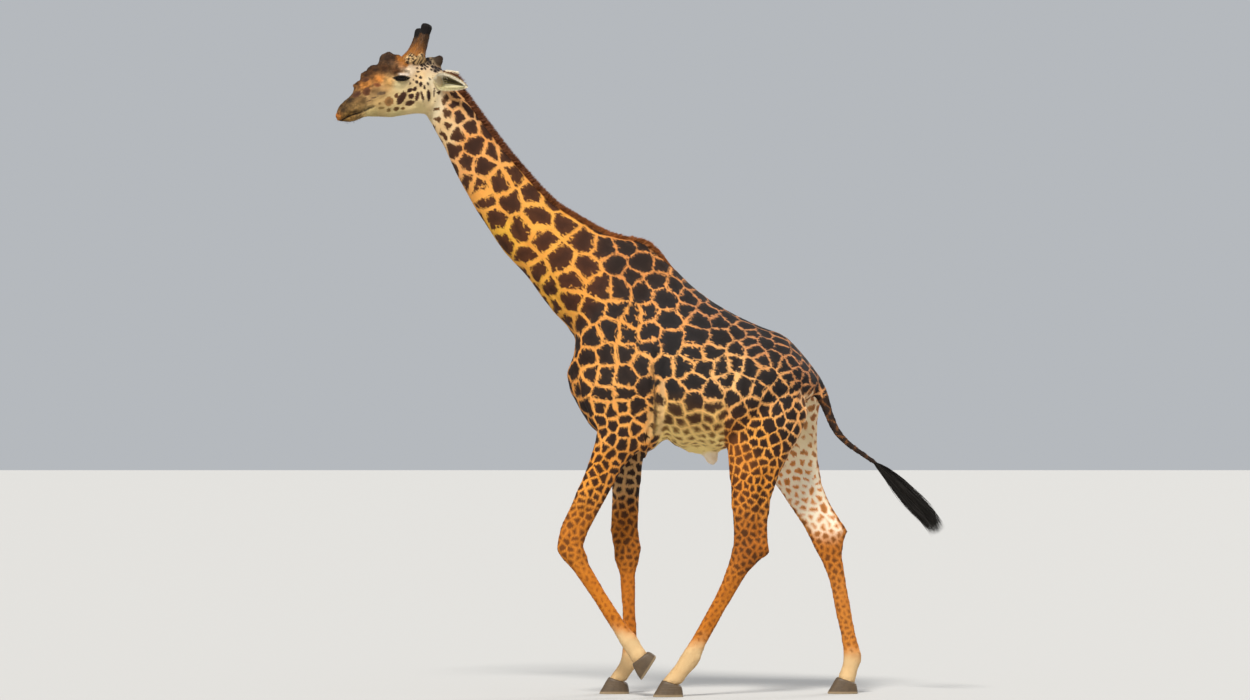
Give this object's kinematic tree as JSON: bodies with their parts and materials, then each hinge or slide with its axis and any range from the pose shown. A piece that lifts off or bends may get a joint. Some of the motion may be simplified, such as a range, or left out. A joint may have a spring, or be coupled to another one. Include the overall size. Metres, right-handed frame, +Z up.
{
  "type": "giraffe figure",
  "caption": "Life-size still model of a walking bull giraffe: long sloping neck, blunt horns, bony brow, upright mane, leaf-edged patches, cloven hooves and a tufted tail.",
  "frame": {"origin": "centre of the bounding box, on the floor that the hooves stand on", "axes": "+Z up; the giraffe faces and walks towards -X; its left side faces -Y"},
  "size_m": [4.1151, 0.8418, 4.5584],
  "materials": {
    "coat": "short glossy hair, dark leaf-edged patches on a tawny ground, pale lower legs and belly",
    "mane": "stiff upright red-brown hair",
    "ear": "short pale hair, darker inside",
    "horn": "brown hair over bone, bare and black at the tip",
    "hoof": "dull horn",
    "tuft": "long coarse black hair",
    "eye": "wet, dark brown"
  },
  "bodies": {
    "root": {"head": "coat", "neck_upper": "coat", "neck_middle": "coat", "neck_lower": "coat", "trunk": "coat", "tail": "coat", "leg_fore_left_upper": "coat", "leg_fore_left_lower": "coat", "hoof_fore_left_inner": "hoof", "hoof_fore_left_outer": "hoof", "leg_fore_right_upper": "coat", "leg_fore_right_lower": "coat", "hoof_fore_right_inner": "hoof", "hoof_fore_right_outer": "hoof", "leg_hind_left_upper": "coat", "leg_hind_left_lower": "coat", "hoof_hind_left_inner": "hoof", "hoof_hind_left_outer": "hoof", "leg_hind_right_upper": "coat", "leg_hind_right_lower": "coat", "hoof_hind_right_inner": "hoof", "hoof_hind_right_outer": "hoof", "ear_left": "ear", "ear_right": "ear", "horn_left": "horn", "horn_right": "horn", "eye_left": "eye", "eye_right": "eye", "mane": "mane", "tail_tuft": "tuft"}
  },
  "joints": []
}
